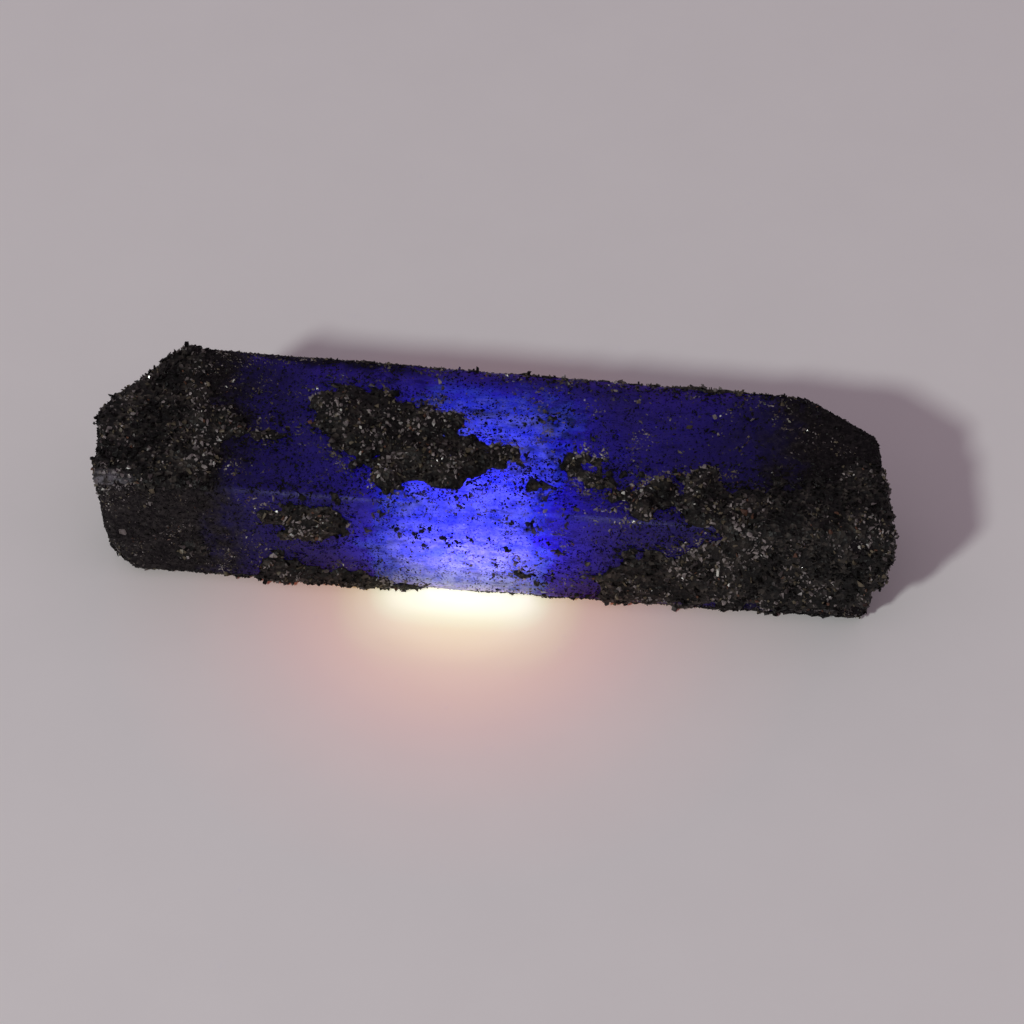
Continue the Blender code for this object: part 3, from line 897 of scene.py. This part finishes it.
def colour_with_painted_glow(place):
    """The crystal's colour: deep blue at both ends, its own, and a pale, cloudy middle, pinkish at its
    foot, which is the torch's glow painted in.
    """
    middle, slant, outer, inner = CRYSTAL["painted_glow"]
    wander = CRYSTAL["painted_glow_wander"]
    split = axes(place)
    cloud = noise_node(place, 0.22, 4.0)
    away = maths("MULTIPLY_ADD", cloud, wander, -wander / 2 - middle)
    shifted = maths("MULTIPLY_ADD", split["Y"], -slant, split["X"])
    away = maths("ABSOLUTE", maths("ADD", away, shifted))
    painted_glow = range_node(away, outer, inner)
    streaks = patches(in_millimetres(place.id_data, (9.0, 0.9, 0.9)), "streaks")
    # The painted glow is streaked and cloudy, and fades towards the back.
    for varied in (streaks, patches(place, "clouds"), range_node(split["Y"], *RANGES["rear"])):
        painted_glow = maths("MULTIPLY", painted_glow, varied)
    # Low down, where the torch is nearest, the painted glow turns pinkish.
    low = range_node(split["Z"], *RANGES["low"])
    foot = maths("MULTIPLY", low, range_node(painted_glow, *RANGES["lit"]))
    return mixed(foot, ramp_node(painted_glow, CRYSTAL["colour_and_glow_zones"]), (*CRYSTAL["painted_foot_glow"], 1))


def worn_ridge(place, facing):
    """Dust caught along the worn ridge between the top and the front."""
    ridge = range_node(maths("MULTIPLY", facing["Y"], facing["Z"]), *RANGES["ridge"])
    return maths("MULTIPLY", ridge, patches(place, "ridge"))


def back_rim_dust(split, mottle):
    """Dust along the back rim of the top, thick over the left part and thin over the rest."""
    across = maths("MULTIPLY_ADD", mottle, 3.0, split["Y"])
    share = range_node(split["X"], *RANGES["back_rim_share"])
    return maths("MULTIPLY", range_node(across, *RANGES["back_rim"]), share)


def smudges(place):
    """Patches of caught dust on the top, ragged at their rims."""
    spread = 0.0
    for x, y, reach in CRYSTAL["smudges"]:
        away = distance_node(place, (x - ORIGIN.x / MM, y - ORIGIN.y / MM), (0.8, 1, 0))
        spread = maths("MAXIMUM", range_node(away, reach, 0.3 * reach), spread)
    return maths("MULTIPLY", spread, patches(place, "smudges"))


def scattered_dust(place):
    """Specks, and the smears between them."""
    specks = maths("MAXIMUM", patches(place, "specks"), patches(place, "blots"))
    specks = maths("MULTIPLY", specks, patches(place, "patchy"))
    smears = patches(in_millimetres(place.id_data, (2.6, 1.0, 1.0)), "smears")
    return maths("MULTIPLY", specks, 0.80), maths("MULTIPLY", smears, 0.68)


def crystal_material():
    """Blue crystal: clear where bare, with a film of dust that thickens towards both ends, and the torch's
    glow painted into its colour.
    """
    material, tree, shader = new_material("crystal")
    place = in_millimetres(tree)
    split = axes(place)
    facing = axes(add("NewGeometry", {}, tree)["Normal"])
    mottle = noise_node(place, 0.30, 5.0)
    wander = CRYSTAL["film_wander"]
    shifted = maths("MULTIPLY_ADD", mottle, wander, -wander / 2)
    left = range_node(maths("SUBTRACT", split["X"], shifted), *RANGES["left"])
    right = range_node(maths("ADD", split["X"], shifted), *RANGES["right"])
    film = ends = maths("MAXIMUM", left, right)
    for layer in (
        *scattered_dust(place),
        range_node(split["Z"], *RANGES["foot"]),
        range_node(split["Z"], *RANGES["hem"]),
        worn_ridge(place, facing),
        back_rim_dust(split, mottle),
        smudges(place),
    ):
        film = maths("MAXIMUM", film, layer)
    dusty = noise_node(place, 1.9, 6.0, 0.7)
    dusty = maths("MULTIPLY", dusty, range_node(ends, *RANGES["dusty"]))
    paler_front = maths("MULTIPLY", range_node(facing["Y"], *RANGES["front"]), left)
    dusty = maths("ADD", dusty, paler_front)
    lines = in_millimetres(tree, (16.0, 0.28, 0.28))
    pits = noise_node(place, 2.6, 6.0, 0.65)
    normal = bump_node(noise_node(lines, 1.0, 4.0), 0.05 * MM, 0.6)
    rough = range_node(pits, *RANGES["rough"])
    clear = CRYSTAL["transmission"]
    feed(shader, {
        "Base Color": mixed(film, colour_with_painted_glow(place), ramp_node(dusty, CRYSTAL["film"])),
        "Transmission Weight": maths("MULTIPLY_ADD", film, -clear, clear),
        "Normal": bump_node(pits, 0.10 * MM, 0.7, normal),
        "Roughness": maths("MAXIMUM", rough, maths("MULTIPLY", film, 0.75)),
        "IOR": CRYSTAL["ior"],
        "Specular IOR Level": 0.05,
        "Subsurface Weight": maths("SUBTRACT", 1.0, film),
        "Subsurface Radius": CRYSTAL["glow_colour"],
        "Subsurface Scale": CRYSTAL["glow_reach"],
    })
    volume = {"Color": (*CRYSTAL["absorption"], 1), "Density": CRYSTAL["density"]}
    feed(tree.nodes["Material Output"], {"Volume": add("VolumeAbsorption", volume, tree)[0]})
    return material


# Centre in mm, stretch and colour of the powder where the left corner has been knocked and rubbed
SMEAR = ((-37.0, -9.4, 12.6), (0.45, 1.1, 1.1), (0.17, 0.16, 0.185))


def smeared(place, colour):
    """The colour, turned to pale powder at the left corner."""
    centre, stretch, powder = SMEAR
    away = distance_node(place, [a - b / MM for a, b in zip(centre, ORIGIN)], stretch)
    cloud = range_node(noise_node(place, 1.4, 5.0), 0.38, 0.62, 0.05, 0.75)
    share = maths("MULTIPLY", range_node(away, 1.5, 0.5), cloud)
    return mixed(share, colour, (*powder, 1))


CRUST_CELLS = 2.4  # per mm
CRUST_TONES = (
    (0.0, (0.002, 0.0018, 0.002)), (0.45, (0.007, 0.006, 0.0055)),
    (0.75, (0.015, 0.0125, 0.0105)), (1.0, (0.036, 0.030, 0.026)),
)


def crust_material():
    """Cemented grit: cells the size of grains, from black to grey and olive."""
    material, tree, shader = new_material("crust")
    place = in_millimetres(tree)
    cells = add("TexVoronoi", {"Vector": place, "Scale": CRUST_CELLS})
    tone = axes(cells["Color"])
    stretches = range_node(noise_node(place, 0.4, 2.0), 0.38, 0.62, 0.35, 1.7)
    colour = {0: ramp_node(tone["X"], CRUST_TONES), "Scale": stretches}
    shaded = add("VectorMath", colour, operation="SCALE")[0]
    normal = bump_node(cells["Distance"], 0.25 * MM, 0.8)
    feed(shader, {
        "Base Color": smeared(place, shaded),
        "Roughness": range_node(tone["Y"], 0.0, 1.0, 0.35, 0.85),
        "Normal": bump_node(noise_node(place, 5.0, 4.0), 0.12 * MM, 0.6, normal),
        "Specular IOR Level": 0.25,
    })
    return material


def grain_material(name):
    _, _, dark, light, smooth, rough, shine = SHADES[name]
    material, tree, shader = new_material("grains_" + name)
    place = in_millimetres(tree)
    colour = ramp_node(noise_node(place, 1.1), [(0.35, dark), (0.65, light)])
    feed(shader, {
        "Base Color": smeared(place, colour),
        "Roughness": range_node(noise_node(place, 2.0), 0.35, 0.65, smooth, rough),
        "Specular IOR Level": shine,
    })
    return material


# ---- stage

FLOOR_LEVEL = -0.08 * MM
FLOOR_HALF = 1.5
FLOOR_TONES = ((0.3, (0.885, 0.86, 0.87)), (0.7, (0.90, 0.875, 0.885)))
TORCH = (-2.1, 1.6)  # centre of the torch under the stone, in mm
TORCH_LEVEL = -0.04 * MM
TORCH_RADIUS = 20.0 * MM
TORCH_BEAM = (5.9, 3.8)  # mm along X and Y in which the torch's light falls to 1/e
TORCH_POWER = 44.0
TORCH_COLOUR = (1.0, 0.93, 0.80, 1)
# The torch's light that spills onto the floor is painted on it as emission.
SPILL = (-2.75, -9.57)  # middle of the light that spills in front of the stone, in mm
SPILL_REACH = 40.0
# How the spilled light's colour falls off, by the distance in mm
SPILL_NEAR = (
    (0.0, (0.38, 0.55, 0.52)), (2.0, (0.27, 0.42, 0.37)),
    (3.4, (0.135, 0.26, 0.19)), (4.8, (0.08, 0.13, 0.08)),
    (7.1, (0.03, 0.06, 0.02)), (9.6, (0.0, 0.01, 0.0)),
    (11.0, (0.0, 0.0, 0.0)),
)
SPILL_FAR = (
    (0.0, (0.48, 0.32, 0.13)), (4.8, (0.43, 0.24, 0.08)),
    (7.1, (0.39, 0.195, 0.077)), (9.6, (0.31, 0.125, 0.042)),
    (13.9, (0.215, 0.055, 0.008)), (18.0, (0.14, 0.020, 0.0)),
    (22.0, (0.085, 0.010, 0.0)), (29.0, (0.03, 0.003, 0.0)),
    (38.0, (0.0, 0.0, 0.0)),
)
NEAR_SIDES = (2.5, 0.018)  # power and scale of the near part's fading to the sides
FAR_SIDES = 1.05  # how much faster the far part fades to the sides than to the front


def spill_part(aside, ahead, stops):
    """Light whose colour follows the distance in mm made up of these two offsets."""
    squares = [maths("MULTIPLY", part, part) for part in (aside, ahead)]
    away = maths("SQRT", maths("ADD", *squares))
    share = range_node(away, 0.0, SPILL_REACH, kind="LINEAR")
    return ramp_node(share, [(distance / SPILL_REACH, colour) for distance, colour in stops])


def stage_floor():
    """A pale sheet, with the torch's light that spills onto it in front of the stone painted on as
    emission.
    """
    bm = bmesh.new()
    level = Matrix.Translation((0, 0, FLOOR_LEVEL))
    bmesh.ops.create_grid(bm, x_segments=1, y_segments=1, size=FLOOR_HALF, matrix=level)
    floor = new_object("floor", bm)
    material, tree, shader = new_material("floor")
    place = in_millimetres(tree)
    split = axes(place)
    aside = maths("ABSOLUTE", maths("SUBTRACT", split["X"], SPILL[0]))
    ahead = maths("SUBTRACT", split["Y"], SPILL[1])
    power, scale = NEAR_SIDES
    steep = maths("MULTIPLY", maths("POWER", aside, power), scale)
    near = spill_part(steep, ahead, SPILL_NEAR)
    far = spill_part(maths("MULTIPLY", aside, FAR_SIDES), ahead, SPILL_FAR)
    feed(shader, {
        "Base Color": ramp_node(noise_node(place, 0.10, 4.0), FLOOR_TONES),
        "Roughness": 0.9,
        "Specular IOR Level": 0.1,
        "Emission Color": vector_maths("ADD", near, far),
        "Emission Strength": 1.0,
    })
    floor.data.materials.append(material)


def stage_torch():
    """The torch's lit lens under the stone, fading towards its rim."""
    bm = bmesh.new()
    bmesh.ops.create_circle(bm, cap_ends=True, segments=64, radius=TORCH_RADIUS)
    bmesh.ops.translate(bm, verts=bm.verts, vec=(TORCH[0] * MM, TORCH[1] * MM, TORCH_LEVEL))
    disc = new_object("torch_lens", bm)
    material, tree, _ = new_material("torch_lens")
    away = distance_node(in_millimetres(tree), TORCH, (1 / TORCH_BEAM[0], 1 / TORCH_BEAM[1], 0))
    square = maths("MULTIPLY", away, away)
    beam = maths("POWER", math.e, maths("MULTIPLY", square, -1.0))
    strength = maths("MULTIPLY", beam, TORCH_POWER)
    lit = add("Emission", {"Color": TORCH_COLOUR, "Strength": strength})[0]
    both = add("AddShader", {0: lit, 1: add("BsdfTransparent", {}, tree)[0]})[0]
    feed(tree.nodes["Material Output"], {"Surface": both})
    disc.data.materials.append(material)


KEY_PLACE = Vector((-0.54, -0.93, 0.75))
KEY_SIZE = 0.14
KEY_POWER = 7.5
KEY_COLOUR = (0.93, 0.99, 0.93)
WORLD_COLOUR = (1.0, 0.815, 0.93, 1)
WORLD_STRENGTH = 0.262
CAMERA_HEADING = 6.0
CAMERA_ELEVATION = 45.0
CAMERA_DISTANCE = 0.42
CAMERA_AIM = Vector((1.546, -1.748, 4.34)) * MM
SENSOR_WIDTH = 36.0
FRAME_WIDTH = 102.4 * MM  # what the picture spans at the aim point


def looking(name, data, place, way):
    """The lamp or camera at this place, looking this way."""
    obj = linked(name, data)
    obj.location = place
    obj.rotation_euler = way.to_track_quat("-Z", "Y").to_euler()
    return obj


def lights():
    """One lamp from the front left, and an even, faintly pink light all round."""
    lamp = bpy.data.lights.new("key", "AREA")
    lamp.shape = "DISK"
    lamp.size = KEY_SIZE
    lamp.energy = KEY_POWER
    lamp.color = KEY_COLOUR
    looking("key", lamp, KEY_PLACE, -KEY_PLACE)
    world = bpy.data.worlds.new("studio")
    bpy.context.scene.world = world
    world.use_nodes = True
    feed(world.node_tree.nodes["Background"], {"Color": WORLD_COLOUR, "Strength": WORLD_STRENGTH})


def camera():
    """The photo's camera, which looks down at the stone from the front."""
    a, e = math.radians(CAMERA_HEADING), math.radians(CAMERA_ELEVATION)
    back = Vector((math.sin(a) * math.cos(e), -math.cos(a) * math.cos(e), math.sin(e)))
    data = bpy.data.cameras.new("camera")
    data.sensor_width = SENSOR_WIDTH
    data.lens = SENSOR_WIDTH * CAMERA_DISTANCE / FRAME_WIDTH
    data.clip_start = 0.01
    bpy.context.scene.camera = looking("camera", data, CAMERA_AIM + back * CAMERA_DISTANCE, -back)


# ---- build


def dress(piece, material):
    """Gives the piece its material, and its place on the stone's one body."""
    piece.data.materials.append(material)
    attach(piece, "root")
    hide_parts(NODE)


block_tree = BVHTree.FromBMesh(notched_block())
crystal = crystal_piece()
crust = crust_piece(block_tree)
dress(crystal, crystal_material())
dress(crust, crust_material())
shade_materials = {name: grain_material(name) for name in SHADES}
for piece, shade_name in all_grains(crystal, crust):
    dress(piece, shade_materials[shade_name])
stage_floor()
stage_torch()
lights()
camera()
bpy.context.scene.view_settings.view_transform = "Standard"
